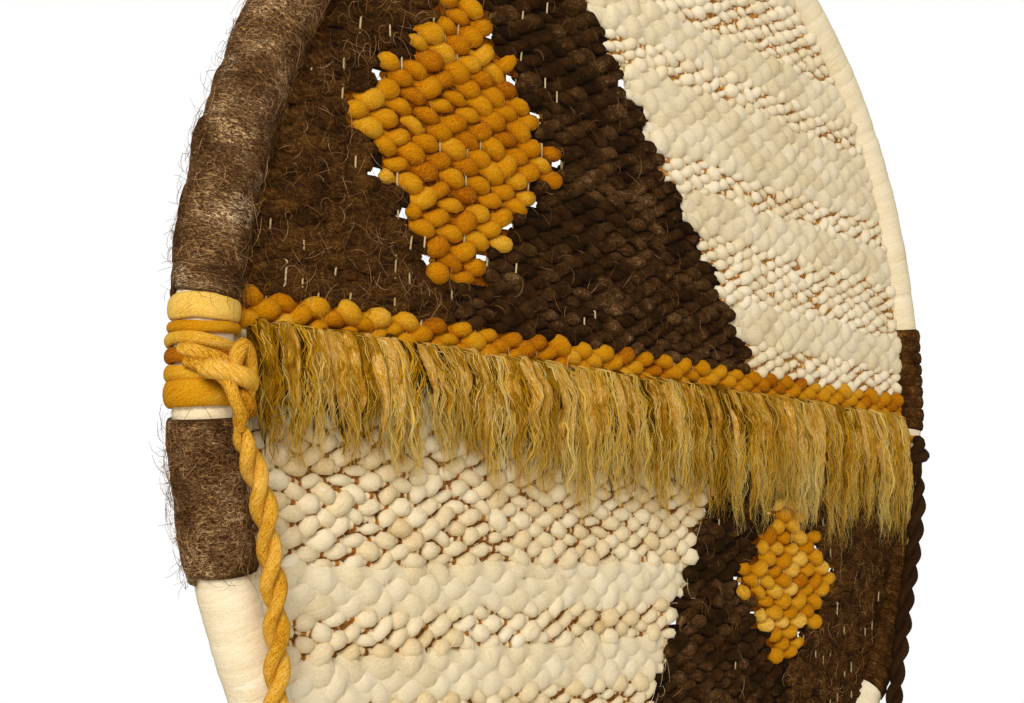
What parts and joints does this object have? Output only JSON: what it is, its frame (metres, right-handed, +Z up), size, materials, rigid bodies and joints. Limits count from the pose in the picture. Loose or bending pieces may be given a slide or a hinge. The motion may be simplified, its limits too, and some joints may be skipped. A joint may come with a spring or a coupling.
{
  "type": "woven wall hanging on a bound hoop",
  "caption": "Round wool weaving that fills a wool-bound hoop, with a fringe across its middle and a twisted cord hanging from each side.",
  "frame": {"origin": "top of the hoop, where a hook in the wall holds it", "axes": "+Z up, the front faces -Y, +X to the right seen from the front"},
  "size_m": [0.7335, 0.0542, 0.727],
  "materials": {
    "cream_wool": "wound handspun wool, matt",
    "felted_brown_wool": "felted wool roving, hairy, matt",
    "gold_wool": "dyed wool roving, matt",
    "dark_brown_wool": "plied wool, matt",
    "web_wool": "handwoven thick wool, matt",
    "mohair_fringe": "crimped mohair locks, soft sheen",
    "cotton_warp": "thin plied cotton"
  },
  "bodies": {
    "root": {"hoop": "cream_wool", "wrap_brown_upper_left": "felted_brown_wool", "wrap_gold_left": "gold_wool", "wrap_brown_lower_left": "felted_brown_wool", "wrap_brown_lower_right": "felted_brown_wool", "wrap_gold_right": "gold_wool", "wrap_brown_right": "felted_brown_wool", "web": "web_wool", "fringe": "mohair_fringe", "knot_gold": "gold_wool", "cord_gold": "gold_wool", "end_gold": "gold_wool", "knot_brown": "dark_brown_wool", "cord_brown": "dark_brown_wool", "end_brown": "dark_brown_wool"}
  },
  "joints": []
}
